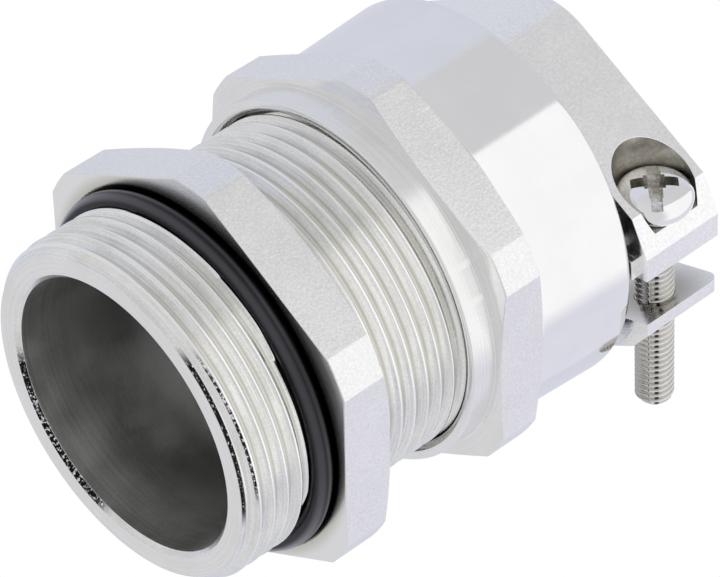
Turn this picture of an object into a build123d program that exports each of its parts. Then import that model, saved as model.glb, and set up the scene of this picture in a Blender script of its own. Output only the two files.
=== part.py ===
"""Metal cable gland with an M32 entry thread, a cap nut and a two-jaw strain relief.

The gland's axis is X. The origin lies on that axis, in the face of the body's hexagon that
seats on the panel. +X runs towards the clamp, -X through the panel, and +Z is up along
the clamp screws.
"""

import math
import os

from build123d import *

# Metric threads of the body; the rear one is cut slightly smaller for the cap nut
entry_thread_radius = 16.0
rear_thread_radius = 15.83
thread_pitch = 1.5
thread_depth = 0.92
crest_width = 0.19
root_width = 0.30
entry_lead = 0.5
rear_lead = 1.0
end_bevel = 0.1

# Hexagons of the body and of the cap nut
hex_half_width = 18.0
hex_corner_radius = 19.8
hex_chamfer_radius = 17.7
body_hex_edge = 0.2
body_hex_chamfer = 0.75
nut_hex_edge = 0.5
nut_hex_chamfer = 0.7
hex_turn = 3.0
hex_overlap = 0.5

# Body, from the entry end to the clamp side
entry_length = 8.8
entry_groove_length = 1.9
groove_radius = 15.1
body_hex_length = 5.1
body_end = 19.7
bore_radius = 12.9
rim_chamfer = 0.45
chamber_radius = 14.0
chamber_start = 7.2

# Panel seal
o_ring_section = 0.9
o_ring_radius = 16.1

# Rubber sealing ring between its two washers
washer_thickness = 0.8
washer_bore = 11.6
washer_radius = 13.85
seal_length = 10.0
seal_bore = 11.0
seal_radius = 13.8
seal_chamfer = 0.8

# Cap nut
nut_start = 15.2
collar_radius = 17.35
nut_mouth_radius = 16.55
nut_mouth_length = 0.5
nut_edge = 0.15
nut_hex_start = 17.75
nut_hex_end = 22.8
dome_front_radius = 18.0
dome_rear_radius = 18.5
nut_end = 32.9
dome_step_length = 1.0
dome_step_height = 0.3
rim_rounding = 0.45
nut_thread_bore = 16.06
nut_thread_end = 23.7
wall_end = 25.2
sleeve_radius = 13.8
swivel_bore = 15.0

# Snap ring that keeps the clamp's hub in the cap nut
snap_ring_start = 27.7
snap_ring_width = 1.0
snap_ring_inner = 14.4
snap_ring_outer = 15.6
snap_ring_gap = 12.0
groove_clearance = 0.1
groove_overcut = 1.0

# Clamp body: hub and upper jaw
hub_radius = 14.94
hub_start = 25.35
cable_radius = 12.5
jaw_start = 33.7
jaw_length = 8.8
jaw_half_width = 19.5
crease_half_width = 17.8
roof_angle = 30.0
roof_rounding = 7.0
upper_bottom = 0.0
upper_side_top = 2.4
upper_crease = 5.95
lug_inner = 16.4
lug_outer = 18.4
lug_top = 2.0
lug_clearance = 0.12

# Clamp jaw, the lower one
jaw_front_clearance = 0.1
lower_jaw_length = 9.3
lower_top = -4.8
lower_side_bottom = -6.1
lower_crease = -8.2
ear_tilt = 16.0
saddle_centre = -2.0
saddle_half_width = 11.3
jaw_corner_rounding = 1.4
hole_overcut = 20.0

# Clamp screws
screw_x = 38.1
screw_y = 16.2
screw_radius = 1.75
screw_pitch = 0.6
screw_length = 22.0
screw_thread_depth = 0.34
screw_crest_width = 0.1
screw_root_width = 0.12
screw_tip = 1.0
screw_neck = 0.5
screw_fillet = 0.2
screw_seat = 3.9
head_radius = 3.45
head_height = 2.6
head_rounding = 1.3
counterbore_radius = 3.65
clearance_hole_radius = 1.85
tapped_hole_radius = 1.8
recess_width = 1.1
recess_length = 4.4
slot_width = 0.8
recess_depth = 1.3


def ridge_points(start, end, radius, pitch, depth, crest, root):
    """Outline of thread ridges from start to end, as (distance along the axis, radius)."""
    flank = (pitch - crest - root) / 2
    points = []
    here = start
    while here + pitch <= end + 1e-6:
        points.append((here, radius - depth))
        points.append((here + root, radius - depth))
        points.append((here + root + flank, radius))
        points.append((here + root + flank + crest, radius))
        here += pitch
    points.append((here, radius - depth))
    return points


def body_ridges(start, end, radius):
    """Ridges of one of the body's metric threads."""
    return ridge_points(start, end, radius, thread_pitch, thread_depth, crest_width, root_width)


def hex_envelope(start, front_radius, front_length, rear_length, end):
    """Half outline of the turned blank of a hexagon, with a chamfer at each end."""
    return [
        (start, 0),
        (start, front_radius),
        (start + front_length, hex_corner_radius),
        (end - rear_length, hex_corner_radius),
        (end, hex_chamfer_radius),
        (end, 0),
    ]


def roof_height(crease, y):
    """Height of a jaw's sloping outer face at a distance y from the middle, above its crease."""
    return crease + (crease_half_width - y) * math.tan(math.radians(roof_angle))


# Body: entry thread, hexagon, rear thread and the bore through them
with BuildPart() as double_nipple:
    with BuildSketch(Plane.YZ):
        RegularPolygon(hex_half_width, 6, major_radius=False, rotation=30 + hex_turn)
    extrude(amount=body_hex_length)
    with BuildSketch(Plane.XY):
        with BuildLine():
            Polyline(
                *hex_envelope(
                    0,
                    hex_corner_radius - body_hex_edge,
                    body_hex_edge,
                    body_hex_chamfer,
                    body_hex_length,
                ),
                close=True,
            )
        make_face()
    revolve(axis=Axis.X, mode=Mode.INTERSECT)
    entry_ridges = body_ridges(-entry_length + entry_lead, -entry_groove_length, entry_thread_radius)
    with BuildSketch(Plane.XY):
        with BuildLine():
            Polyline(
                (-entry_length, 0),
                (-entry_length, groove_radius - end_bevel),
                *entry_ridges,
                (entry_ridges[-1][0], groove_radius),
                (hex_overlap, groove_radius),
                (hex_overlap, 0),
                close=True,
            )
        make_face()
    revolve(axis=Axis.X)
    rear_ridges = body_ridges(body_hex_length + rear_lead, body_end, rear_thread_radius)
    with BuildSketch(Plane.XY):
        with BuildLine():
            Polyline(
                (body_hex_length - hex_overlap, 0),
                (body_hex_length - hex_overlap, groove_radius),
                (body_hex_length + rear_lead, groove_radius),
                *rear_ridges,
                (body_end, groove_radius - end_bevel),
                (body_end, 0),
                close=True,
            )
        make_face()
    revolve(axis=Axis.X)
    with BuildSketch(Plane.XY):
        with BuildLine():
            Polyline(
                (-entry_length, 0),
                (-entry_length, bore_radius + rim_chamfer),
                (-entry_length + rim_chamfer, bore_radius),
                (chamber_start, bore_radius),
                (chamber_start, chamber_radius),
                (body_end, chamber_radius),
                (body_end, 0),
                close=True,
            )
        make_face()
    revolve(axis=Axis.X, mode=Mode.SUBTRACT)

# Rubber ring that seals the gland against the panel
with BuildPart() as panel_o_ring:
    with BuildSketch(Plane.XY):
        with Locations((-o_ring_section, o_ring_radius)):
            Circle(o_ring_section)
    revolve(axis=Axis.X)

# Washers and the rubber sealing ring that closes on the cable
seal_start = chamber_start + washer_thickness
seal_end = seal_start + seal_length
with BuildPart() as front_washer:
    with BuildSketch(Plane.YZ.offset(chamber_start)):
        Circle(washer_radius)
        Circle(washer_bore, mode=Mode.SUBTRACT)
    extrude(amount=washer_thickness)

with BuildPart() as sealing_ring:
    with BuildSketch(Plane.XY):
        with BuildLine():
            Polyline(
                (seal_start, seal_bore + seal_chamfer),
                (seal_start, seal_radius),
                (seal_end, seal_radius),
                (seal_end, seal_bore + seal_chamfer),
                (seal_end - seal_chamfer, seal_bore),
                (seal_start + seal_chamfer, seal_bore),
                close=True,
            )
        make_face()
    revolve(axis=Axis.X)

with BuildPart() as rear_washer:
    with BuildSketch(Plane.YZ.offset(seal_end)):
        Circle(washer_radius)
        Circle(washer_bore, mode=Mode.SUBTRACT)
    extrude(amount=washer_thickness)

# Cap nut: threaded collar, hexagon and dome, with a sleeve inside that presses on the seal
sleeve_start = seal_end + washer_thickness
with BuildPart() as cap_nut:
    with BuildSketch(Plane.YZ.offset(nut_hex_start)):
        RegularPolygon(hex_half_width, 6, major_radius=False, rotation=30 + hex_turn)
    extrude(amount=nut_hex_end - nut_hex_start)
    with BuildSketch(Plane.XY):
        with BuildLine():
            Polyline(
                *hex_envelope(
                    nut_hex_start,
                    hex_chamfer_radius,
                    nut_hex_edge,
                    nut_hex_chamfer,
                    nut_hex_end,
                ),
                close=True,
            )
        make_face()
    revolve(axis=Axis.X, mode=Mode.INTERSECT)
    with BuildSketch(Plane.XY):
        with BuildLine():
            Polyline(
                (nut_start, 0),
                (nut_start, collar_radius - nut_edge),
                (nut_start + nut_edge, collar_radius),
                (nut_hex_end - dome_step_length, collar_radius),
                (nut_hex_end - dome_step_length, dome_front_radius - dome_step_height),
                (nut_hex_end, dome_front_radius),
                (nut_end, dome_rear_radius),
                (nut_end, 0),
                close=True,
            )
        make_face()
    revolve(axis=Axis.X)
    fillet(edges().filter_by(GeomType.CIRCLE).group_by(Axis.X)[-1], rim_rounding)
    snap_groove_start = snap_ring_start - groove_clearance
    snap_groove_end = snap_ring_start + snap_ring_width + groove_clearance
    with BuildSketch(Plane.XY):
        with BuildLine():
            Polyline(
                (nut_start, 0),
                (nut_start, nut_mouth_radius),
                (nut_start + nut_mouth_length, nut_thread_bore),
                (nut_thread_end, nut_thread_bore),
                (nut_thread_end, sleeve_radius),
                (sleeve_start, sleeve_radius),
                (sleeve_start, washer_bore),
                (wall_end, washer_bore),
                (wall_end, swivel_bore),
                (snap_groove_start, swivel_bore),
                (snap_groove_start, snap_ring_outer),
                (snap_groove_end, snap_ring_outer),
                (snap_groove_end, swivel_bore),
                (nut_end, swivel_bore),
                (nut_end, 0),
                close=True,
            )
        make_face()
    revolve(axis=Axis.X, mode=Mode.SUBTRACT)

# Open snap ring between the cap nut and the hub
with BuildPart() as snap_ring:
    with BuildSketch(Plane.XY):
        ring_centre = (snap_ring_start + snap_ring_width / 2, (snap_ring_inner + snap_ring_outer) / 2)
        with Locations(ring_centre):
            Rectangle(snap_ring_width, snap_ring_outer - snap_ring_inner)
    revolve(axis=Axis.X, revolution_arc=360 - snap_ring_gap)


def upper_jaw_outline():
    """Right half of the upper jaw's outline, from its foot up to the sharp ridge, as (y, z)."""
    return [
        (jaw_half_width, upper_bottom),
        (jaw_half_width, upper_side_top),
        (crease_half_width, upper_crease),
        (0, roof_height(upper_crease, 0)),
    ]


# Clamp body: the hub that turns in the cap nut, with the upper jaw on it
with BuildPart() as clamp_body:
    with BuildSketch(Plane.YZ.offset(jaw_start)) as upper_face:
        with BuildLine():
            right_side = Polyline(*upper_jaw_outline())
            mirror(right_side, about=Plane.YZ)
            Line((-jaw_half_width, upper_bottom), (jaw_half_width, upper_bottom))
        make_face()
        fillet(upper_face.vertices().group_by(Axis.Y)[-1], roof_rounding)
    extrude(amount=jaw_length)
    for side in (-1, 1):
        with Locations((jaw_start, side * (lug_inner + lug_outer) / 2, upper_bottom)):
            Box(
                2 * (jaw_start - nut_end - lug_clearance),
                lug_outer - lug_inner,
                lug_top - upper_bottom,
                align=(Align.CENTER, Align.CENTER, Align.MIN),
            )
    with BuildSketch(Plane.YZ.offset(hub_start)):
        Circle(hub_radius)
    extrude(amount=jaw_start - hub_start)
    with BuildSketch(Plane.YZ.offset(hub_start)):
        Circle(cable_radius)
    extrude(amount=jaw_start + jaw_length - hub_start, mode=Mode.SUBTRACT)
    with BuildSketch(Plane.YZ.offset(snap_ring_start - groove_clearance)):
        Circle(hub_radius + groove_overcut)
        Circle(snap_ring_inner - groove_clearance, mode=Mode.SUBTRACT)
    extrude(amount=snap_ring_width + 2 * groove_clearance, mode=Mode.SUBTRACT)
    with BuildSketch(Plane.XY.offset(upper_bottom)):
        with Locations((screw_x, -screw_y), (screw_x, screw_y)):
            Circle(clearance_hole_radius)
    extrude(amount=hole_overcut, mode=Mode.SUBTRACT)
    with BuildSketch(Plane.XY.offset(screw_seat)):
        with Locations((screw_x, -screw_y), (screw_x, screw_y)):
            Circle(counterbore_radius)
    extrude(amount=hole_overcut, mode=Mode.SUBTRACT)


def lower_jaw_outline():
    """Right half of the clamp jaw's outline, from the saddle round to the keel, as (y, z)."""
    inner_z = lower_top - (jaw_half_width - saddle_half_width) * math.tan(math.radians(ear_tilt))
    return [
        (0, inner_z),
        (saddle_half_width, inner_z),
        (jaw_half_width, lower_top),
        (jaw_half_width, lower_side_bottom),
        (crease_half_width, lower_crease),
        (0, -roof_height(-lower_crease, 0)),
    ]


# Clamp jaw: the loose lower half, drawn up by the two screws
with BuildPart() as clamp_jaw:
    with BuildSketch(Plane.YZ.offset(jaw_start + jaw_front_clearance)) as lower_face:
        with BuildLine():
            lower_side = Polyline(*lower_jaw_outline())
            mirror(lower_side, about=Plane.YZ)
        make_face()
        fillet(lower_face.vertices().group_by(Axis.Y)[0], roof_rounding)
        with Locations((0, saddle_centre)):
            Circle(cable_radius, mode=Mode.SUBTRACT)
    extrude(amount=lower_jaw_length - jaw_front_clearance)
    upright_edges = edges().filter_by(Axis.Z)
    outer_edges = [edge for edge in upright_edges if math.isclose(abs(edge.center().Y), jaw_half_width)]
    fillet(ShapeList(outer_edges).group_by(Axis.X)[-1], jaw_corner_rounding)
    with BuildSketch(Plane.XY.offset(lower_top)):
        with Locations((screw_x, -screw_y), (screw_x, screw_y)):
            Circle(tapped_hole_radius)
    extrude(amount=-hole_overcut, mode=Mode.SUBTRACT)


def clamp_screw(side):
    """Pan-head clamp screw on one side of the cable, threaded to its head."""
    tip = screw_seat - screw_length
    ridges = ridge_points(
        tip + screw_tip,
        screw_seat - screw_neck,
        screw_radius,
        screw_pitch,
        screw_thread_depth,
        screw_crest_width,
        screw_root_width,
    )
    axis_line = Axis((screw_x, side * screw_y, 0), (0, 0, 1))
    with BuildPart() as screw:
        with BuildSketch(Plane.XZ.offset(-side * screw_y)):
            with BuildLine():
                Polyline(
                    (screw_x, tip),
                    (screw_x + screw_tip, tip),
                    *[(screw_x + radius, height) for height, radius in ridges],
                    (screw_x + screw_radius, screw_seat - screw_fillet),
                    (screw_x + screw_radius, screw_seat),
                    (screw_x + head_radius, screw_seat),
                    (screw_x + head_radius, screw_seat + head_height),
                    (screw_x, screw_seat + head_height),
                    close=True,
                )
            make_face()
        revolve(axis=axis_line)
        fillet(edges().filter_by(GeomType.CIRCLE).group_by(Axis.Z)[-1], head_rounding)
        with BuildSketch(Plane.XY.offset(screw_seat + head_height)):
            with Locations((screw_x, side * screw_y)):
                Rectangle(recess_length, recess_width)
                Rectangle(recess_width, recess_length)
                Rectangle(2 * head_radius, slot_width)
        extrude(amount=-recess_depth, mode=Mode.SUBTRACT)
    return screw


clamp_screw_right = clamp_screw(-1)
clamp_screw_left = clamp_screw(1)

pieces = {
    "double_nipple": double_nipple,
    "panel_o_ring": panel_o_ring,
    "front_washer": front_washer,
    "sealing_ring": sealing_ring,
    "rear_washer": rear_washer,
    "cap_nut": cap_nut,
    "snap_ring": snap_ring,
    "clamp_body": clamp_body,
    "clamp_jaw": clamp_jaw,
    "clamp_screw_right": clamp_screw_right,
    "clamp_screw_left": clamp_screw_left,
}

os.makedirs("parts", exist_ok=True)
for name, piece in pieces.items():
    piece.part.label = name
    export_step(piece.part, f"parts/{name}.step")
    print(name, round(piece.part.volume, 1))
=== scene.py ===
import math

import bmesh
import bpy
from mathutils import Matrix, Vector


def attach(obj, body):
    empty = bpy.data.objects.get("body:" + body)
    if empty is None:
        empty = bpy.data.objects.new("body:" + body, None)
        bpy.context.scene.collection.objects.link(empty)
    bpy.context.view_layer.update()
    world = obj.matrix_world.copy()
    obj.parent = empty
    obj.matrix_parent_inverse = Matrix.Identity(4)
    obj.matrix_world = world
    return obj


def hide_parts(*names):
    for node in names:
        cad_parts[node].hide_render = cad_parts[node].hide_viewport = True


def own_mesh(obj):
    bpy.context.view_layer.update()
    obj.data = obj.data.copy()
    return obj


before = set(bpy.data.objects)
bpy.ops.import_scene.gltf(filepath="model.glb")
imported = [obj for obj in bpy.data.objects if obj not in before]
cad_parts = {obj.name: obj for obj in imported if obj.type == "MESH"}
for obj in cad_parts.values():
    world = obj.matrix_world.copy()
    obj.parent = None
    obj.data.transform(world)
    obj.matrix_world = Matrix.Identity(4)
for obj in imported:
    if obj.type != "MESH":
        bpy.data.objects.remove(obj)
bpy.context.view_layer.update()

mm = 0.001
scene = bpy.context.scene
scene.view_settings.view_transform = "Standard"

# Camera: a long lens, looking down on the entry end from the right

shot = {
    "azimuth": -41.347,
    "elevation": 40.087,
    "roll": -3.241,
    "distance": 375.259 * mm,
    "aim": (18.627 * mm, 0, 0),
    "lift": -2.12 * mm,
    "lens": 219.065,
    "sensor": 36,
    "nearest": 10 * mm,
    "farthest": 20,
}


def placeCamera(values):
    azimuth = math.radians(values["azimuth"])
    elevation = math.radians(values["elevation"])
    roll = math.radians(values["roll"])
    back = Vector((
        math.sin(azimuth) * math.cos(elevation),
        -math.cos(azimuth) * math.cos(elevation),
        math.sin(elevation),
    ))
    level = Vector((math.cos(azimuth), math.sin(azimuth), 0))
    upright = back.cross(level)
    right = level * math.cos(roll) + upright * math.sin(roll)
    up = upright * math.cos(roll) - level * math.sin(roll)
    data = bpy.data.cameras.new("camera")
    data.lens = values["lens"]
    data.sensor_width = values["sensor"]
    data.clip_start = values["nearest"]
    data.clip_end = values["farthest"]
    camera = bpy.data.objects.new("camera", data)
    scene.collection.objects.link(camera)
    stand = Matrix((right, up, back)).transposed().to_4x4()
    stand.translation = Vector(values["aim"]) + up * values["lift"] + back * values["distance"]
    camera.matrix_world = stand
    scene.camera = camera


placeCamera(shot)
print("camera placed")


# Shader maths: a wrapped socket takes part in sums, and node() makes any other node

class Socket:
    def __init__(self, tree, link=None):
        self.tree = tree
        self.link = link

    def node(self, kind, settings=None, sockets=None, out=0):
        made = self.tree.nodes.new(kind)
        for key, value in (settings or {}).items():
            setattr(made, key, value)
        for key, value in (sockets or {}).items():
            if isinstance(value, Socket):
                self.tree.links.new(value.link, made.inputs[key])
            else:
                made.inputs[key].default_value = value
        return Socket(self.tree, made.outputs[out] if made.outputs else None)

    def maths(self, operation, *values):
        return self.node("ShaderNodeMath", {"operation": operation}, dict(enumerate(values)))

    def __add__(self, other):
        return self.maths("ADD", self, other)

    def __radd__(self, other):
        return self.maths("ADD", other, self)

    def __sub__(self, other):
        return self.maths("SUBTRACT", self, other)

    def __rsub__(self, other):
        return self.maths("SUBTRACT", other, self)

    def __mul__(self, other):
        return self.maths("MULTIPLY", self, other)

    def __rmul__(self, other):
        return self.maths("MULTIPLY", other, self)

    def __truediv__(self, other):
        return self.maths("DIVIDE", self, other)

    def power(self, other):
        return self.maths("POWER", self, other)

    def turn(self, other):                         # degrees, from other towards this
        return self.maths("ARCTAN2", self, other) * (180 / math.pi)

    def reach(self, other):                        # length of the two at right angles
        return (self * self + other * other).power(0.5)

    def step(self, low, high):                     # 0 below low, 1 above high, smooth between
        return self.node(
            "ShaderNodeMapRange",
            {"interpolation_type": "SMOOTHSTEP"},
            {"Value": self, "From Min": low, "From Max": high},
        )

    def edge(self, at, soft):                      # the same, centred
        return self.step(at - soft, at + soft)

    def mix(self, first, second):                  # colours, by this factor
        return self.node(
            "ShaderNodeMix", {"data_type": "RGBA"}, {0: self, 6: first, 7: second}, out=2
        )


def separate(start, where):                        # a vector's three numbers
    parts = start.node("ShaderNodeSeparateXYZ", sockets={0: where}).link.node
    return [Socket(start.tree, output) for output in parts.outputs]


# Light: a soft studio drawn on the sky, by direction

studio = {
    "overhead": (0.66, 0.66, 0.675, 1),
    "side": (1.02, 1.02, 1.03, 1),
    "low": (0.76, 0.755, 0.84, 1),
    "far": (0.68, 0.70, 0.775, 1),
    "front": (0.70, 0.70, 0.71, 1),
    "backdrop": (1, 1, 1, 1),
    "overheadHalf": 26.0,
    "overheadSoft": 1.5,
    "sideEnd": 130.0,
    "sideSoft": 7.0,
    "farSoft": 3.0,
    "frontFull": 0.5,
}


def lightStudio(values):
    world = bpy.data.worlds.new("studio")
    world.use_nodes = True
    scene.world = world
    tree = world.node_tree
    tree.nodes.clear()
    start = Socket(tree)
    along, across, height = separate(start, start.node("ShaderNodeTexCoord", out=0))
    turn = (0 - across).turn(height)
    sideOn = turn.edge(values["overheadHalf"], values["overheadSoft"])
    lowOn = turn.edge(values["sideEnd"], values["sideSoft"])
    farOn = (0 - turn).edge(values["overheadHalf"], values["farSoft"])
    colour = sideOn.mix(values["overhead"], values["side"])
    colour = lowOn.mix(colour, values["low"])
    colour = farOn.mix(colour, values["far"])
    frontOn = (0 - along).step(0.0, values["frontFull"])
    colour = frontOn.mix(colour, values["front"])
    seen = start.node("ShaderNodeLightPath", out=0)
    colour = seen.mix(colour, values["backdrop"])
    glow = start.node("ShaderNodeBackground", sockets={0: colour, 1: 1.0})
    start.node("ShaderNodeOutputWorld", sockets={0: glow})


lightStudio(studio)
print("studio lit")

# Floor: plain and white, under the hexagons' lowest corners

floorPlan = {"half": 4.0, "height": -20.4 * mm}


def layFloor(values):
    half = values["half"]
    mesh = bpy.data.meshes.new("floor")
    corners = [(-half, -half), (half, -half), (half, half), (-half, half)]
    mesh.from_pydata([(x, y, values["height"]) for x, y in corners], [], [(0, 1, 2, 3)])
    floor = bpy.data.objects.new("floor", mesh)
    scene.collection.objects.link(floor)
    material = bpy.data.materials.new("whiteFloor")
    material.use_nodes = True
    tree = material.node_tree
    tree.nodes.clear()
    start = Socket(tree)
    glow = start.node("ShaderNodeEmission", sockets={0: (1, 1, 1, 1), 1: 1.0})
    start.node("ShaderNodeOutputMaterial", sockets={0: glow})
    mesh.materials.append(material)
    floor.visible_glossy = False
    floor.visible_diffuse = False
    floor.visible_transmission = False
    floor.visible_shadow = False


layFloor(floorPlan)


# Finishes

def newFinish(name):
    material = bpy.data.materials.new(name)
    material.use_nodes = True
    shader = material.node_tree.nodes["Principled BSDF"]
    return material, Socket(material.node_tree), shader


def feed(shader, name, value):
    if isinstance(value, Socket):
        value.tree.links.new(value.link, shader.inputs[name])
    else:
        shader.inputs[name].default_value = value


def place(start):
    return start.node("ShaderNodeTexCoord", out=3)


def noise(start, where, scale, detail=3.0, roughness=0.55):
    return start.node(
        "ShaderNodeTexNoise",
        {"noise_dimensions": "3D"},
        {"Vector": where, "Scale": scale, "Detail": detail, "Roughness": roughness},
    )


def bump(start, height, strength, distance, normal=None):
    sockets = {"Height": height, "Strength": strength, "Distance": distance}
    if normal:
        sockets["Normal"] = normal
    return start.node("ShaderNodeBump", sockets=sockets)


outwardShare = 0.83                                # of the lines' spacing, on end faces


def turnedPlace(start, lineScale, roundScale):
    # lines run round the gland's axis: fine along it and outward, slow round it
    along, across, height = separate(start, place(start))
    radius = across.reach(height)
    line = (along + radius * outwardShare) * lineScale
    return start.node(
        "ShaderNodeCombineXYZ",
        sockets={0: line, 1: across / radius * roundScale, 2: height / radius * roundScale},
    )


turnedFinish = {
    "dark": (0.76, 0.76, 0.735, 1),
    "light": (1.0, 1.0, 0.99, 1),
    # painted shade: darker in the thread roots
    "root": (0.68, 0.665, 0.61, 1),
    "rootRadius": (14.9 * mm, 15.22 * mm),
    "rootSoft": 0.1 * mm,
    "rootFrom": (-7.6 * mm, -7.2 * mm),
    # colour of the dark lines, partly dirt and partly painted dark reflection
    "mark": (0.012, 0.012, 0.012, 1),
    "roughness": (0.16, 0.30),
    "lines": 9000.0,
    "rounds": 1.6,
    "lineBump": 0.30,
}

# painted highlight: a lighter copy of the turned finish for the thread crests
crestHighlightFinish = {
    "dark": (0.93, 0.93, 0.92, 1),
    "light": (1.0, 1.0, 1.0, 1),
    "roughness": (0.18, 0.30),
    "lines": 5000.0,
    "rounds": 9.0,
    "lineBump": 0.10,
}

faceFinish = {
    "dark": (0.86, 0.86, 0.85, 1),
    "light": (0.95, 0.945, 0.96, 1),
    "roughness": (0.08, 0.14),
    "lines": 7000.0,
    "rounds": 1.2,
    "lineBump": 0.05,
}


def polar(start):                                  # along, radius and angle from +Z to -Y
    along, across, height = separate(start, place(start))
    return along, across.reach(height), (0 - across).turn(height)


def within(value, low, high, soft):                # 1 between low and high
    return value.edge(low, soft) * (high - value).edge(0, soft)


# dark broken lines on the front edges, partly dirt and partly painted dark reflection: along,
# radius, angle, share left unmarked, and pitch
dirtAndReflectionMarks = [
    ((-8.79, -8.36), (14.95, 15.75), (36, 97), 0.40, 0.0),
    ((-8.18, -8.02), (15.5, 16.1), (40, 88), 0.46, 1.5),
    ((-8.79, -8.35), (12.8, 13.34), (196, 266), 0.44, 0.0),
]


markEdges = {"torn": 3200.0, "tornSoft": 0.02, "endSoft": 5.0, "soft": 0.02 * mm}


def markMask(start, mark):
    along, radius, angle = polar(start)
    (front, rear), (inner, outer), (first, last), share, pitch = mark
    if last > 180:
        angle = angle + 360 * (0 - angle).edge(0, 1)
    torn = noise(start, place(start), markEdges["torn"], 5.0, 0.75)
    ends = within(angle, first, last, markEdges["endSoft"])
    level = along - angle * (pitch / 360 * mm)
    band = within(level, front * mm, rear * mm, markEdges["soft"])
    ring = within(radius, inner * mm, outer * mm, markEdges["soft"])
    return band * ring * (ends * torn.edge(share, markEdges["tornSoft"]))


turnedPatches = 260.0
turnedGrain = 5600.0
bumpDepth = 0.02 * mm
fineBumpDepth = 0.01 * mm


def makeTurned(name, values):
    material, start, shader = newFinish(name)
    lines = noise(start, turnedPlace(start, values["lines"], values["rounds"]), 1.0, 4.0)
    patches = noise(start, place(start), turnedPatches, 4.0)
    grain = noise(start, place(start), turnedGrain, 3.0, 0.65)
    tone = (lines * 0.45 + patches * 0.25 + grain * 0.30).step(0.36, 0.64)
    colour = tone.mix(values["dark"], values["light"])
    # painted shade in the thread roots
    if "root" in values:
        along, radius, angle = polar(start)
        root = within(radius, *values["rootRadius"], values["rootSoft"])
        colour = (root * along.step(*values["rootFrom"])).mix(colour, values["root"])
        # dark broken lines: partly dirt, partly painted dark reflection
        for mark in dirtAndReflectionMarks:
            colour = markMask(start, mark).mix(colour, values["mark"])
    if "deepShade" in values:                           # painted shade, darker further in
        along = separate(start, place(start))[0]
        colour = along.step(*values["deepFrom"]).mix(colour, values["deepShade"])
    feed(shader, "Base Color", colour)
    low, high = values["roughness"]
    feed(shader, "Roughness", low + patches.step(0.3, 0.75) * (high - low))
    shader.inputs["Metallic"].default_value = 1.0
    shaped = bump(start, lines, values["lineBump"], bumpDepth)
    feed(shader, "Normal", bump(start, grain, values["lineBump"], bumpDepth, shaped))
    return material


collarFinish = {
    "dark": (0.84, 0.84, 0.82, 1),
    "light": (0.93, 0.93, 0.92, 1),
    "roughness": (0.20, 0.28),
    "lines": 5000.0,
    "rounds": 1.0,
    "lineBump": 0.05,
}

# painted shadow next to the rubber ring, then a painted olive reflection fading out towards the
# hexagon's corners
seatShadowFinish = {
    "shadow": (0.004, 0.004, 0.004, 1),
    "near": (0.66, 0.64, 0.58, 1),
    "far": (0.93, 0.93, 0.93, 1),
    "shadowEnd": (17.08 * mm, 17.34 * mm),
    "nearEnd": (17.1 * mm, 18.6 * mm),
    "waver": 0.25 * mm,
    "roughness": 0.24,
    "grain": 4200.0,
    "grainBump": 0.25,
}


def makeSeat(name, values):                        # painted shadow and dark reflection round the rubber ring
    material, start, shader = newFinish(name)
    grain = noise(start, place(start), values["grain"], 3.0)
    radius = polar(start)[1] + (grain - 0.5) * values["waver"]
    colour = radius.step(*values["nearEnd"]).mix(values["near"], values["far"])
    colour = radius.step(*values["shadowEnd"]).mix(values["shadow"], colour)
    feed(shader, "Base Color", colour)
    shader.inputs["Roughness"].default_value = values["roughness"]
    shader.inputs["Metallic"].default_value = 1.0
    feed(shader, "Normal", bump(start, grain, values["grainBump"], bumpDepth))
    return material


flatFinish = {
    "dark": (0.84, 0.84, 0.83, 1),
    "light": (0.95, 0.95, 0.945, 1),
    "roughness": (0.14, 0.22),
    "grain": 4200.0,
    "grainBump": 0.55,
}


screwPlan = {
    "along": 38.1,
    "across": 16.2,
    "seat": 3.9,
    "counterbore": 3.65,
}


def screwSpace(start):                             # distance and angle at a clamp screw
    along, across, height = separate(start, place(start))
    near = along - screwPlan["along"] * mm
    side = screwPlan["across"] * mm - across.maths("ABSOLUTE", across)
    return near.reach(side), side.turn(near)


# painted shade and dark reflection near the clamp screws, by distance from the screw, by angle,
# and by how far the surface faces up
darkNearScrew = {"fades": (1.5 * mm, 6.5 * mm), "facing": (0.6, 0.85)}
shankShade = {
    "shade": (120, 182, 20),
    "side": (-181, -150, 14),
    "stripe": (-136, -122, 4),
    "valley": (1.2 * mm, 1.6 * mm, 0.06 * mm),
}
drawnScale = (900, 2600, 6400)
flatClouds = 210.0


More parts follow.
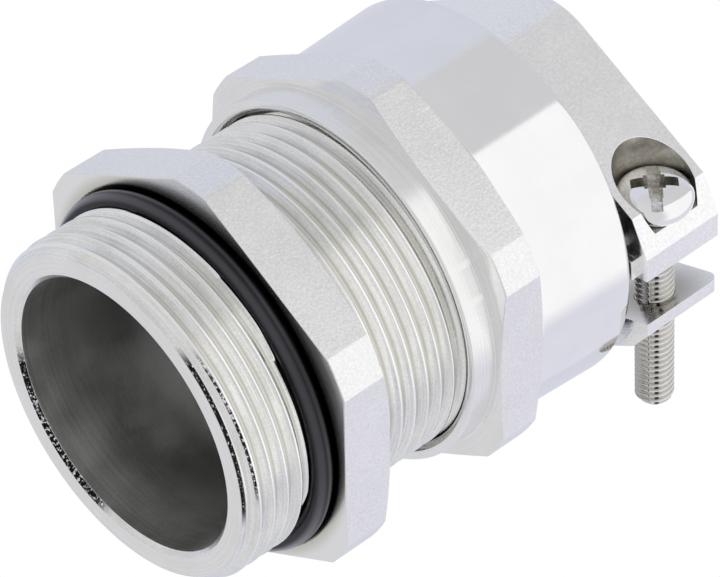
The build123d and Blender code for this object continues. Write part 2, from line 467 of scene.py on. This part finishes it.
def makeFlats(name, values):
    material, start, shader = newFinish(name)
    where = place(start)
    grain = noise(start, where, values["grain"], 3.0, 0.6)
    clouds = noise(start, where, flatClouds, 4.0)
    tone = (grain * 0.85 + clouds * 0.15).step(0.30, 0.70)
    drawn = start.node(
        "ShaderNodeVectorMath", {"operation": "MULTIPLY"}, {0: where, 1: drawnScale}
    )
    scratches = noise(start, drawn, 1.0, 2.0).step(0.70, 0.74)
    colour = tone.mix(values["dark"], values["light"])
    colour = (scratches * 0.8).mix(colour, (1, 1, 1, 1))
    if "shade" in values:                          # painted dark reflection and shade on up-facing surfaces round the screw
        unshaded = screwSpace(start)[0].step(*darkNearScrew["fades"])
        facing = separate(start, start.node("ShaderNodeTexCoord", out=1))[2]
        top = facing.step(*darkNearScrew["facing"])
        colour = ((1 - unshaded) * top).mix(colour, values["shade"])
    if "stripe" in values:                         # painted shade on the shank: a grey side and dark spots between ridges
        reach, angle = screwSpace(start)
        spots = within(angle, *shankShade["stripe"]) * within(reach, *shankShade["valley"])
        colour = within(angle, *shankShade["shade"]).mix(colour, values["shade"])
        colour = within(angle, *shankShade["side"]).mix(colour, values["side"])
        colour = spots.mix(colour, values["stripe"])
    feed(shader, "Base Color", colour)
    low, high = values["roughness"]
    feed(shader, "Roughness", low + clouds.step(0.3, 0.7) * (high - low))
    shader.inputs["Metallic"].default_value = 1.0
    rough = grain + scratches * 0.6
    feed(shader, "Normal", bump(start, rough, values["grainBump"], bumpDepth))
    return material


polishedFinish = {
    "dark": (0.89, 0.89, 0.89, 1),
    "light": (0.93, 0.93, 0.93, 1),
    "roughness": (0.05, 0.10),
    "clouds": 160.0,
    "specks": 2600.0,
    "speckBump": 0.05,
}


def makePolished(name, values):
    material, start, shader = newFinish(name)
    where = place(start)
    clouds = noise(start, where, values["clouds"], 5.0)
    specks = noise(start, where, values["specks"], 2.0)
    feed(shader, "Base Color", clouds.step(0.3, 0.7).mix(values["dark"], values["light"]))
    low, high = values["roughness"]
    feed(shader, "Roughness", low + specks.step(0.35, 0.75) * (high - low))
    shader.inputs["Metallic"].default_value = 1.0
    feed(shader, "Normal", bump(start, specks, values["speckBump"], fineBumpDepth))
    return material


boreFinish = {
    "dark": (0.70, 0.70, 0.68, 1),
    "light": (0.96, 0.96, 0.93, 1),
    # painted shade, darker deeper into the bore
    "deepShade": (0.62, 0.62, 0.60, 1),
    "deepFrom": (-7 * mm, 1 * mm),
    "roughness": (0.30, 0.40),
    "lines": 4200.0,
    "rounds": 0.9,
    "lineBump": 0.30,
}

castFinish = {
    "dark": (0.88, 0.88, 0.875, 1),
    "light": (0.99, 0.99, 0.985, 1),
    "roughness": (0.14, 0.22),
    "grain": 3600.0,
    "grainBump": 0.45,
}

# painted shade: a darker, olive copy of the nickel for hollows and inner faces
shadedInnerFinish = {
    "dark": (0.50, 0.48, 0.43, 1),
    "light": (0.68, 0.66, 0.61, 1),
    "roughness": (0.26, 0.42),
    "grain": 2400.0,
    "grainBump": 0.25,
}

screwFinish = {
    "dark": (0.74, 0.73, 0.71, 1),
    "light": (0.96, 0.955, 0.94, 1),
    # painted shade near the screw's top, on its sides and in its thread valleys
    "shade": (0.58, 0.56, 0.52, 1),
    "side": (0.66, 0.65, 0.61, 1),
    "stripe": (0.06, 0.06, 0.055, 1),
    "roughness": (0.20, 0.30),
    "grain": 2800.0,
    "grainBump": 0.06,
}

# painted shade: a darker copy of the screw steel for the cross recess
shadedRecessFinish = {
    "dark": (0.40, 0.38, 0.34, 1),
    "light": (0.84, 0.82, 0.78, 1),
    "roughness": (0.12, 0.24),
    "grain": 1800.0,
    "grainBump": 0.30,
}

jawFinish = {
    "dark": (0.86, 0.86, 0.85, 1),
    "light": (0.97, 0.97, 0.965, 1),
    # painted dark reflection and shade on the top, near the screw
    "shade": (0.42, 0.40, 0.355, 1),
    "roughness": (0.14, 0.22),
    "grain": 3600.0,
    "grainBump": 0.40,
}

springFinish = {
    "dark": (0.42, 0.42, 0.41, 1),
    "light": (0.60, 0.60, 0.59, 1),
    "roughness": (0.25, 0.40),
    "grain": 3200.0,
    "grainBump": 0.15,
}

panelRing = {"section": 0.93, "radius": 16.12, "along": -0.92, "squeeze": 0.02}

rubberFinish = {
    "dark": (0.003, 0.003, 0.004, 1),
    "light": (0.008, 0.008, 0.011, 1),
    "roughness": (0.28, 0.38),
    "gloss": 0.26,
    "tint": (0.86, 0.84, 1, 1),
    "grain": 4200.0,
    "clouds": 320.0,
    "grainBump": 0.12,
}

# painted sheen: coat on the ring where highlights fall, by angle round its section: from, to
# and softness
ringSheen = {
    "outer": (114, 152, 14),
    "inner": (74, 94, 12),
    "innerShare": 0.8,
    "roughness": 0.22,
    "ior": 1.62,
    "tint": (0.93, 0.92, 1, 1),
}


def makeRubber(name, values, section=None):
    material, start, shader = newFinish(name)
    where = place(start)
    grain = noise(start, where, values["grain"], 3.0)
    clouds = noise(start, where, values["clouds"], 4.0)
    feed(shader, "Base Color", clouds.step(0.3, 0.7).mix(values["dark"], values["light"]))
    low, high = values["roughness"]
    feed(shader, "Roughness", low + clouds.step(0.35, 0.7) * (high - low))
    if section:                                    # painted sheen: shinier in two bands, on both sides of the mould line
        along, radius, angle = polar(start)
        turn = (radius - section["radius"] * mm).turn(along - section["along"] * mm)
        inner = within(turn, *ringSheen["inner"]) * ringSheen["innerShare"]
        feed(shader, "Coat Weight", within(turn, *ringSheen["outer"]) + inner)
        shader.inputs["Coat Roughness"].default_value = ringSheen["roughness"]
        shader.inputs["Coat IOR"].default_value = ringSheen["ior"]
        shader.inputs["Coat Tint"].default_value = ringSheen["tint"]
    shader.inputs["Specular IOR Level"].default_value = values["gloss"]
    shader.inputs["Specular Tint"].default_value = values["tint"]
    feed(shader, "Normal", bump(start, grain, values["grainBump"], fineBumpDepth))
    return material


turnedNickel = makeTurned("turnedNickel", turnedFinish)
crestHighlightNickel = makeTurned("crestHighlightNickel", crestHighlightFinish)
faceNickel = makeTurned("faceNickel", faceFinish)
collarNickel = makeTurned("collarNickel", collarFinish)
seatShadowNickel = makeSeat("seatShadowNickel", seatShadowFinish)
boreNickel = makeTurned("boreNickel", boreFinish)
hexNickel = makeFlats("hexNickel", flatFinish)
castNickel = makeFlats("castNickel", castFinish)
jawNickel = makeFlats("jawNickel", jawFinish)
innerNickel = makeFlats("innerNickel", shadedInnerFinish)
screwSteel = makeFlats("screwSteel", screwFinish)
springSteel = makeFlats("springSteel", springFinish)
recessSteel = makeFlats("recessSteel", shadedRecessFinish)
polishedNickel = makePolished("polishedNickel", polishedFinish)
blackRubber = makeRubber("blackRubber", rubberFinish)
ringRubber = makeRubber("ringRubber", rubberFinish, panelRing)
print("finishes made")


# Meshes of revolution: one profile per angle, each point (along, radius, rounding, finish)

meshing = {
    "merge": 0.0015 * mm,
    "sliver": 0.0005 * mm,
    "sharpAngle": math.radians(48),
    "normalWeight": 60,
    "longestRounding": 0.45,
}


def soften(points, steps=3):
    out = []
    count = len(points)
    for index, (along, radius, rounding, finish) in enumerate(points):
        if rounding == 0:
            out.append((along, radius, finish))
            continue
        here = Vector((along, radius))
        before = Vector(points[index - 1][:2]) - here
        after = Vector(points[(index + 1) % count][:2]) - here
        longest = meshing["longestRounding"]
        first = here + before * min(longest, rounding / max(before.length, 1e-6))
        last = here + after * min(longest, rounding / max(after.length, 1e-6))
        for step in range(steps + 1):
            t = step / steps
            bend = first * (1 - t) ** 2 + here * 2 * t * (1 - t) + last * t * t
            out.append((bend.x, bend.y, finish))
    return out


def evenNormals(piece, weight):
    normals = piece.modifiers.new("evenNormals", "WEIGHTED_NORMAL")
    normals.keep_sharp = True
    normals.weight = weight


def finishMesh(name, mesh, materials):
    for material in materials:
        mesh.materials.append(material)
    for face in mesh.polygons:
        face.use_smooth = True
    mesh.set_sharp_from_angle(angle=meshing["sharpAngle"])
    piece = bpy.data.objects.new(name, mesh)
    scene.collection.objects.link(piece)
    evenNormals(piece, meshing["normalWeight"])
    return piece


def revolve(name, angles, profile, materials, toPoint):
    # profile(angle in degrees) gives closed outlines with the same number of points
    rings = [soften(profile(angle)) for angle in angles]
    count = len(rings[0])
    points = [
        toPoint(along, radius, angle)
        for angle, ring in zip(angles, rings)
        for along, radius, finish in ring
    ]
    faces = []
    slots = []
    for column in range(len(angles)):
        nextColumn = (column + 1) % len(angles)
        for row in range(count):
            nextRow = (row + 1) % count
            faces.append((
                column * count + row,
                nextColumn * count + row,
                nextColumn * count + nextRow,
                column * count + nextRow,
            ))
            slots.append(rings[column][row][2])
    mesh = bpy.data.meshes.new(name)
    mesh.from_pydata(points, [], faces)
    mesh.polygons.foreach_set("material_index", slots)
    tidy = bmesh.new()
    tidy.from_mesh(mesh)
    bmesh.ops.remove_doubles(tidy, verts=tidy.verts, dist=meshing["merge"])
    bmesh.ops.dissolve_degenerate(tidy, edges=tidy.edges, dist=meshing["sliver"])
    bmesh.ops.recalc_face_normals(tidy, faces=tidy.faces)
    tidy.to_mesh(mesh)
    tidy.free()
    return finishMesh(name, mesh, materials)


def aroundGland(along, radius, angle):             # angle from +Z towards -Y
    turn = math.radians(angle)
    return (along * mm, -radius * math.sin(turn) * mm, radius * math.cos(turn) * mm)


def evenAngles(count):
    return [360 * index / count for index in range(count)]


# Threads: a helical ridge whose outline slides along with the angle

def ridgeHeight(offset, ridge):                    # share of the depth, by place in the pitch
    for (left, low), (right, high) in zip(ridge, ridge[1:]):
        if left <= offset <= right:
            return low + (high - low) * (offset - left) / (right - left)
    return ridge[0][1]


def threadPoints(angle, values, flankSlot, crestSlot):
    pitch = values["pitch"]
    ridge = values["ridge"] + [(values["ridge"][0][0] + 1, values["ridge"][0][1])]
    start, end = values["start"], values["end"]
    crest = values["crestAt"] + pitch * (angle - values["crestAngle"]) / 360
    first = math.floor((start - crest) / pitch) - 1
    turns = math.ceil((end - start) / pitch) + 3
    points = []
    for turn in range(first, first + turns):
        for share, height in ridge[:-1]:
            along = min(max(crest + (turn + share) * pitch, start), end)
            offset = (along - crest) / pitch
            offset = (offset - ridge[0][0]) % 1 + ridge[0][0]
            radius = values["radius"] + values["depth"] * ridgeHeight(offset, ridge)
            lead = values["leadRadius"] + (along - start) * values["leadSlope"]
            tail = values["tailRadius"] + (end - along) * values["tailSlope"]
            onCrest = abs(share) < values["crestHalf"]
            slot = crestSlot if onCrest else flankSlot
            points.append((along, min(radius, lead, tail), 0, slot))
    return points


metricRidge = [
    (-0.5, -1.0), (-0.42, -0.995), (-0.37, -0.93), (-0.24, -0.50), (-0.105, -0.07),
    (-0.055, 0.0), (0.055, 0.0), (0.105, -0.07), (0.24, -0.50), (0.37, -0.93), (0.42, -0.995),
]

# Body: entry thread, hexagon, rear thread and bore

nipple = {
    "front": -8.8,
    "edgeRadius": 15.1,
    "boreRadius": 12.9,
    "boreChamfer": 0.45,
    "boreEnd": 7.2,
    "chamberRadius": 14.0,
    "rear": 19.7,
    "hexLength": 5.1,
    "halfWidth": 18.0,
    "cornerRadius": 19.8,
    "chamferRadius": 17.7,
    "chamferLength": 0.75,
    "turn": 2.6,
    "seatLoop": 0.25,
    "flatLoop": 0.4,
    "chamferLoop": 0.2,
    "threadRunout": -1.79,
    "rearRadius": 15.0,
}

entryThread = {
    "pitch": 1.5,
    "radius": 16.0,
    "depth": 0.92,
    "start": -8.65,
    "end": -1.8,
    "crestAt": -7.37,
    "crestAngle": 131.7,
    "leadRadius": 15.15,
    "leadSlope": 0.95,
    "tailRadius": 15.1,
    "tailSlope": 8.0,
    "ridge": metricRidge,
    "crestHalf": 0.06,
}

rearThread = {
    "pitch": 1.5,
    "radius": 15.9,
    "depth": 0.92,
    "start": 5.9,
    "end": 19.6,
    "crestAt": 8.53,
    "crestAngle": 131.7,
    "leadRadius": 15.0,
    "leadSlope": 1.2,
    "tailRadius": 15.0,
    "tailSlope": 0.9,
    "ridge": metricRidge,
    "crestHalf": 0.06,
}


def hexAngles(values, flatSteps=34, cornerSteps=8):
    crease = math.degrees(math.acos(values["halfWidth"] / values["cornerRadius"]))
    offsets = [crease * (2 * step / flatSteps - 1) for step in range(1, flatSteps)]
    corner = 60 - 2 * crease
    offsets += [crease + corner * step / cornerSteps for step in range(1, cornerSteps)]
    for nudge in (-0.5, -0.2, 0, 0.2, 0.5):        # loops close to each edge, in degrees
        offsets.append(crease + nudge)
        offsets.append(60 - crease + nudge)
    return sorted(
        60 * side + 30 + values["turn"] + offset for side in range(6) for offset in offsets
    )


def hexRadius(angle, values, blend=0.05):
    offset = (angle - values["turn"]) % 60 - 30
    flat = values["halfWidth"] / math.cos(math.radians(offset))
    corner = values["cornerRadius"]
    near = max(blend - abs(flat - corner), 0) / blend
    return min(flat, corner) - near * near * blend / 4


def hexCut(radius, values, length):                # how far a chamfer runs at this radius
    rise = values["cornerRadius"] - values["chamferRadius"]
    return length * (radius - values["chamferRadius"]) / rise


def nippleProfile(angle):
    turned, flats, bore, crest, face, seat = range(6)
    radius = hexRadius(angle, nipple)
    cut = hexCut(radius, nipple, nipple["chamferLength"])
    inset, loop = radius - nipple["chamferLoop"], nipple["seatLoop"]
    insetCut = hexCut(inset, nipple, nipple["chamferLength"])
    front, edge, hexEnd = nipple["front"], nipple["edgeRadius"], nipple["hexLength"]
    boreEdge = nipple["boreRadius"] + nipple["boreChamfer"]
    return [
        (front, boreEdge, 0.06, face),
        (front, edge, 0.08, turned),
        *threadPoints(angle, entryThread, turned, crest),
        (nipple["threadRunout"], edge, 0, turned),
        (0, edge, 0, seat),
        (0, radius - loop, 0, seat),
        (0, radius, 0.09, flats),
        (nipple["flatLoop"], radius, 0, flats),
        (hexEnd - cut - loop, radius, 0, flats),
        (hexEnd - cut, radius, 0.07, flats),
        (hexEnd - insetCut, inset, 0, turned),
        (hexEnd, nipple["chamferRadius"], 0.05, turned),
        (hexEnd, edge, 0.10, turned),
        *threadPoints(angle, rearThread, turned, crest),
        (nipple["rear"], nipple["rearRadius"], 0.05, turned),
        (nipple["rear"], nipple["chamberRadius"], 0.1, bore),
        (nipple["boreEnd"], nipple["chamberRadius"], 0, bore),
        (nipple["boreEnd"], nipple["boreRadius"], 0.1, bore),
        (front + nipple["boreChamfer"], nipple["boreRadius"], 0.05, turned),
    ]


nippleBody = revolve(
    "nippleBody",
    hexAngles(nipple),
    nippleProfile,
    [turnedNickel, hexNickel, boreNickel, crestHighlightNickel, faceNickel, seatShadowNickel],
    aroundGland,
)
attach(nippleBody, "nipple")
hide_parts("double_nipple")
print("body turned")

# Panel seal: a rubber ring, pressed a little flat against the hexagon

def ringProfile(angle):
    points = []
    for step in range(40):
        turn = 2 * math.pi * step / 40
        along = math.cos(turn) * panelRing["section"]
        along = min(along, panelRing["section"] - panelRing["squeeze"])
        radius = panelRing["radius"] + math.sin(turn) * panelRing["section"]
        points.append((panelRing["along"] + along, radius, 0, 0))
    return points


panelSeal = revolve("panelSeal", evenAngles(240), ringProfile, [ringRubber], aroundGland)
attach(panelSeal, "nipple")
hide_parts("panel_o_ring")

# Washers and the rubber that closes on the cable

innerParts = {
    "washerRadius": 13.85,
    "washerBore": 11.6,
    "washerThickness": 0.8,
    "frontWasherAt": 7.2,
    "rearWasherAt": 18.0,
    "sealStart": 8.0,
    "sealEnd": 18.0,
    "sealRadius": 13.8,
    "sealBore": 11.0,
    "sealChamfer": 0.8,
    "ribDepth": 0.25,
    "ribs": 6,
}


def washerProfile(start):
    bore, rim = innerParts["washerBore"], innerParts["washerRadius"]
    end = start + innerParts["washerThickness"]
    outline = [(start, bore), (start, rim), (end, rim), (end, bore)]
    return [(along, radius, 0.12, 0) for along, radius in outline]


def sealProfile(angle):
    start, end = innerParts["sealStart"], innerParts["sealEnd"]
    bore, chamfer = innerParts["sealBore"], innerParts["sealChamfer"]
    outline = [
        (start, bore + chamfer, 0.2, 0),
        (start, innerParts["sealRadius"], 0.2, 0),
        (end, innerParts["sealRadius"], 0.2, 0),
        (end, bore + chamfer, 0.2, 0),
        (end - chamfer, bore, 0.2, 0),
    ]
    length = end - start - 2 * chamfer
    ribs = innerParts["ribs"]
    for index in range(ribs * 4 - 1, 0, -1):       # shallow grip ribs along the bore
        along = start + chamfer + length * index / (ribs * 4)
        lift = (1 - math.cos(2 * math.pi * index / 4)) / 2 * innerParts["ribDepth"]
        outline.append((along, bore + lift, 0, 0))
    outline.append((start + chamfer, bore, 0.2, 0))
    return outline


for washerName, washerNode, washerBody, washerAt in (
    ("frontWasher", "front_washer", "nipple", innerParts["frontWasherAt"]),
    ("rearWasher", "rear_washer", "pressure_ring", innerParts["rearWasherAt"]),
):
    outline = washerProfile(washerAt)
    washer = revolve(
        washerName, evenAngles(144), lambda angle: outline, [springSteel], aroundGland
    )
    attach(washer, washerBody)
    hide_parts(washerNode)

cableSeal = revolve("cableSeal", evenAngles(144), sealProfile, [blackRubber], aroundGland)
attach(cableSeal, "nipple")
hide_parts("sealing_ring")
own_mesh(cableSeal)
print("seals and washers made")

# Cap nut: collar, hexagon and polished dome

capNut = {
    "start": 15.2,
    "threadBore": 16.06,
    "mouthRadius": 16.55,
    "mouthLength": 0.5,
    "collarRadius": 17.35,
    "collarEdge": 0.15,
    "hexStart": 17.75,
    "hexEnd": 22.8,
    "halfWidth": 18.0,
    "cornerRadius": 19.8,
    "chamferRadius": 17.7,
    "frontChamfer": 0.5,
    "rearChamfer": 0.7,
    "turn": 3.1,
    "domeFront": 18.0,
    "domeRear": 18.5,
    "end": 32.9,
    "rimRounding": 0.45,
    "swivelBore": 15.0,
    "ringGroove": (27.6, 28.8, 15.6),
    "wallEnd": 25.2,
    "wallBore": 11.6,
    "sleeve": (18.8, 13.8),
    "threadEnd": 23.7,
    "flatLoop": 0.3,
    "chamferLoop": 0.2,
    "domeStep": 0.06,
}


def capProfile(angle):
    turned, flats, dome, inside, face, collarFace = range(6)
    values = capNut
    radius = hexRadius(angle, values)
    frontCut = hexCut(radius, values, values["frontChamfer"])
    rearCut = hexCut(radius, values, values["rearChamfer"])
    inset, loop = radius - values["chamferLoop"], values["flatLoop"]
    insetFront = hexCut(inset, values, values["frontChamfer"])
    insetRear = hexCut(inset, values, values["rearChamfer"])
    start, collar = values["start"], values["collarRadius"]
    hexStart, hexEnd, step = values["hexStart"], values["hexEnd"], values["domeStep"]
    grooveStart, grooveEnd, grooveRadius = values["ringGroove"]
    sleeveStart, sleeveRadius = values["sleeve"]
    return [
        (start + values["mouthLength"], values["threadBore"], 0.05, turned),
        (start, values["mouthRadius"], 0.04, face),
        (start, collar - values["collarEdge"], 0.04, face),
        (start + values["collarEdge"], collar, 0.04, collarFace),
        (hexStart, collar, 0.05, face),
        (hexStart, values["chamferRadius"], 0.05, face),
        (hexStart + insetFront, inset, 0, face),
        (hexStart + frontCut, radius, 0.07, flats),
        (hexStart + frontCut + loop, radius, 0, flats),
        (hexEnd - rearCut - loop, radius, 0, flats),
        (hexEnd - rearCut, radius, 0.07, flats),
        (hexEnd - insetRear, inset, 0, flats),
        (hexEnd - step, values["domeFront"] - step, 0.03, dome),
        (hexEnd + 0.05, values["domeFront"], 0.05, dome),
        (values["end"], values["domeRear"], values["rimRounding"], dome),
        (values["end"], values["swivelBore"], 0.15, inside),
        (grooveEnd, values["swivelBore"], 0.05, inside),
        (grooveEnd, grooveRadius, 0, inside),
        (grooveStart, grooveRadius, 0, inside),
        (grooveStart, values["swivelBore"], 0.05, inside),
        (values["wallEnd"], values["swivelBore"], 0, inside),
        (values["wallEnd"], values["wallBore"], 0.15, inside),
        (sleeveStart, values["wallBore"], 0.15, inside),
        (sleeveStart, sleeveRadius, 0.1, inside),
        (values["threadEnd"], sleeveRadius, 0, inside),
        (values["threadEnd"], values["threadBore"], 0, inside),
    ]


capNutPiece = revolve(
    "capNutShell",
    hexAngles(capNut),
    capProfile,
    [turnedNickel, hexNickel, polishedNickel, innerNickel, faceNickel, collarNickel],
    aroundGland,
)
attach(capNutPiece, "cap")
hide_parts("cap_nut")
print("cap nut turned")

# Snap ring: open, with a square section

snapRing = {"start": 27.7, "width": 1.0, "inner": 14.4, "outer": 15.6, "gap": 12.0}


def openRing(name, values, steps=160):
    tidy = bmesh.new()
    start, end = values["start"], values["start"] + values["width"]
    outline = [
        (start, values["inner"], 0.12, 0),
        (start, values["outer"], 0.12, 0),
        (end, values["outer"], 0.12, 0),
        (end, values["inner"], 0.12, 0),
    ]
    section = soften(outline)
    rings = []
    for step in range(steps + 1):
        angle = -90 + (360 - values["gap"]) * step / steps      # its gap is just past +Y
        rings.append([
            tidy.verts.new(aroundGland(along, radius, -angle - 180))
            for along, radius, finish in section
        ])
    for here, there in zip(rings, rings[1:]):
        for index in range(len(section)):
            after = (index + 1) % len(section)
            tidy.faces.new((here[index], there[index], there[after], here[after]))
    tidy.faces.new(rings[0])
    tidy.faces.new(rings[-1])
    bmesh.ops.recalc_face_normals(tidy, faces=tidy.faces)
    mesh = bpy.data.meshes.new(name)
    tidy.to_mesh(mesh)
    tidy.free()
    return finishMesh(name, mesh, [springSteel])


snapRingPiece = openRing("snapRing", snapRing)
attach(snapRingPiece, "cap")
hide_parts("snap_ring")

# Clamp body and jaw: the cast shapes with every edge softened

castMesh = {
    "bevel": 0.22 * mm,
    "segments": 3,
    "bevelAngle": math.radians(20),
    "merge": 0.003 * mm,
    "flatAngle": math.radians(0.6),
    "holeMargin": 0.05,
}


def insideCast(face):                              # walls and seats of the screw holes
    for side in (-1, 1):
        reaches = [
            math.hypot(
                vert.co.x / mm - screwPlan["along"], vert.co.y / mm - side * screwPlan["across"]
            )
            for vert in face.verts
        ]
        if max(reaches) < screwPlan["counterbore"] + castMesh["holeMargin"]:
            return True
    return False


def softCopy(node, name, finish):
    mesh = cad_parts[node].data.copy()
    mesh.name = name
    mesh.materials.clear()
    tidy = bmesh.new()
    tidy.from_mesh(mesh)
    bmesh.ops.remove_doubles(tidy, verts=tidy.verts, dist=castMesh["merge"])
    bmesh.ops.dissolve_limit(
        tidy, angle_limit=castMesh["flatAngle"], verts=tidy.verts, edges=tidy.edges
    )
    bmesh.ops.recalc_face_normals(tidy, faces=tidy.faces)
    for face in tidy.faces:
        face.smooth = True
        face.material_index = 1 if insideCast(face) else 0
    tidy.to_mesh(mesh)
    tidy.free()
    mesh.materials.append(finish)
    # darker inner nickel on the screw holes' walls and seats: painted shade
    mesh.materials.append(innerNickel)
    piece = bpy.data.objects.new(name, mesh)
    scene.collection.objects.link(piece)
    edges = piece.modifiers.new("softEdges", "BEVEL")
    edges.width = castMesh["bevel"]
    edges.segments = castMesh["segments"]
    edges.limit_method = "ANGLE"
    edges.angle_limit = castMesh["bevelAngle"]
    edges.use_clamp_overlap = True
    edges.miter_outer = "MITER_ARC"
    evenNormals(piece, meshing["normalWeight"])
    return piece


clampBodyPiece = softCopy("clamp_body", "clampBody", castNickel)
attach(clampBodyPiece, "clamp")
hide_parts("clamp_body")

clampJawPiece = softCopy("clamp_jaw", "clampJaw", jawNickel)
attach(clampJawPiece, "jaw")
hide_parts("clamp_jaw")
print("clamp cast")

# Clamp screws: pan head with a cross and a slot, threaded to the head

clampScrew = {
    "pitch": 0.6,
    "radius": 1.75,
    "depth": 0.34,
    "start": -18.05,
    "end": 3.5,
    "crestAt": -17.2,
    "crestAngle": 0,
    "leadRadius": 0.75,
    "leadSlope": 1.0,
    "tailRadius": 1.45,
    "tailSlope": 1.2,
    "ridge": metricRidge,
    "crestHalf": 0.06,
    "tip": -18.1,
    "tipRadius": 0.70,
    "neckStart": 0.3,
    "neckRadius": 1.42,
    "filletRadius": 1.55,
    "headRadius": 3.45,
    "headHeight": 2.75,
    "headRounding": 1.55,
    "headSpread": 1.6,
    "headUnder": [(0, 0.75), (0.12, 0.5), (0.4, 0.22), (0.8, 0.05)],
    "centre": 0.001,
    "crossWidth": 1.45,
    "crossLength": 5.0,
    "slotWidth": 1.0,
    "crossWell": 2.2,
    "recessDepth": 1.5,
    "recessTurn": 48.6,
    "recessTaper": 0.62,
    "wellShare": 0.9,
    "slotShare": 0.55,
    "slotReach": 2.3,
    "sharpAngle": math.radians(35),
    "normalWeight": 50,
}


def domePoints(top, rim, rounding, spread, steps=9):    # quarter of an ellipse
    turns = [math.pi / 2 * step / steps for step in range(steps + 1)]
    return [
        (top - rounding * (1 - math.sin(t)), rim - spread * rounding * (1 - math.cos(t)), 0, 1)
        for t in turns
    ]


def screwProfile(angle):
    values = clampScrew
    seat = screwPlan["seat"]
    top = seat + values["headHeight"]
    rim = values["headRadius"]
    return [
        (values["tip"], values["centre"], 0, 0),
        (values["tip"], values["tipRadius"], 0, 0),
        *threadPoints(angle, values, 0, 0),
        (seat - values["neckStart"], values["neckRadius"], 0, 0),
        (seat, values["filletRadius"], 0, 0),
        *[(seat + rise, rim - inset, 0, 1) for rise, inset in values["headUnder"]],
        *domePoints(top, rim, values["headRounding"], values["headSpread"]),
        (top, values["centre"], 0, 1),
    ]


def aroundScrew(side):
    def toPoint(along, radius, angle):
        turn = math.radians(angle)
        return (
            (screwPlan["along"] + radius * math.cos(turn)) * mm,
            (side * screwPlan["across"] + radius * math.sin(turn)) * mm,
            along * mm,
        )
    return toPoint


def recessCutter(side):                            # tapered bars, crossing
    values = clampScrew
    top = screwPlan["seat"] + values["headHeight"]
    turn = math.radians(values["recessTurn"])
    cosine, sine = math.cos(turn), math.sin(turn)
    tidy = bmesh.new()
    full = values["recessDepth"]
    slotLength = values["headRadius"] * values["slotReach"]
    bars = (
        (values["crossLength"], values["crossWidth"], full),
        (values["crossWidth"], values["crossLength"], full),
        (values["crossWell"], values["crossWell"], full * values["wellShare"]),
        (slotLength, values["slotWidth"], full * values["slotShare"]),
    )
    for length, width, depth in bars:
        made = bmesh.ops.create_cube(tidy, size=1)["verts"]
        for vert in made:
            low = vert.co.z < 0
            share = values["recessTaper"] if low and length != slotLength else 1.0
            along, across = vert.co.x * length * share, vert.co.y * width * share
            vert.co.x = along * cosine - across * sine + screwPlan["along"]
            vert.co.y = along * sine + across * cosine + side * screwPlan["across"]
            vert.co.z = top - depth if low else top + 1
            vert.co *= mm
    mesh = bpy.data.meshes.new("recessCutter")
    mesh.materials.append(recessSteel)
    tidy.to_mesh(mesh)
    tidy.free()
    cutter = bpy.data.objects.new("recessCutter", mesh)
    scene.collection.objects.link(cutter)
    return cutter


def cutRecess(piece, cutter):
    piece.modifiers.clear()
    cut = piece.modifiers.new("recess", "BOOLEAN")
    cut.operation = "DIFFERENCE"
    cut.solver = "EXACT"
    cut.use_self = True
    cut.material_mode = "TRANSFER"
    cut.object = cutter
    bpy.context.view_layer.update()
    ready = piece.evaluated_get(bpy.context.evaluated_depsgraph_get())
    mesh = bpy.data.meshes.new_from_object(ready)
    piece.modifiers.clear()
    piece.data = mesh
    bpy.data.objects.remove(cutter)
    mesh.set_sharp_from_angle(angle=clampScrew["sharpAngle"])
    evenNormals(piece, clampScrew["normalWeight"])


for side, sideName in ((-1, "right"), (1, "left")):
    screw = revolve(
        "clampScrew_" + sideName,
        evenAngles(72),
        screwProfile,
        [screwSteel, polishedNickel],
        aroundScrew(side),
    )
    cutRecess(screw, recessCutter(side))
    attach(screw, "screw_" + sideName)
    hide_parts("clamp_screw_" + sideName)
print("screws made")
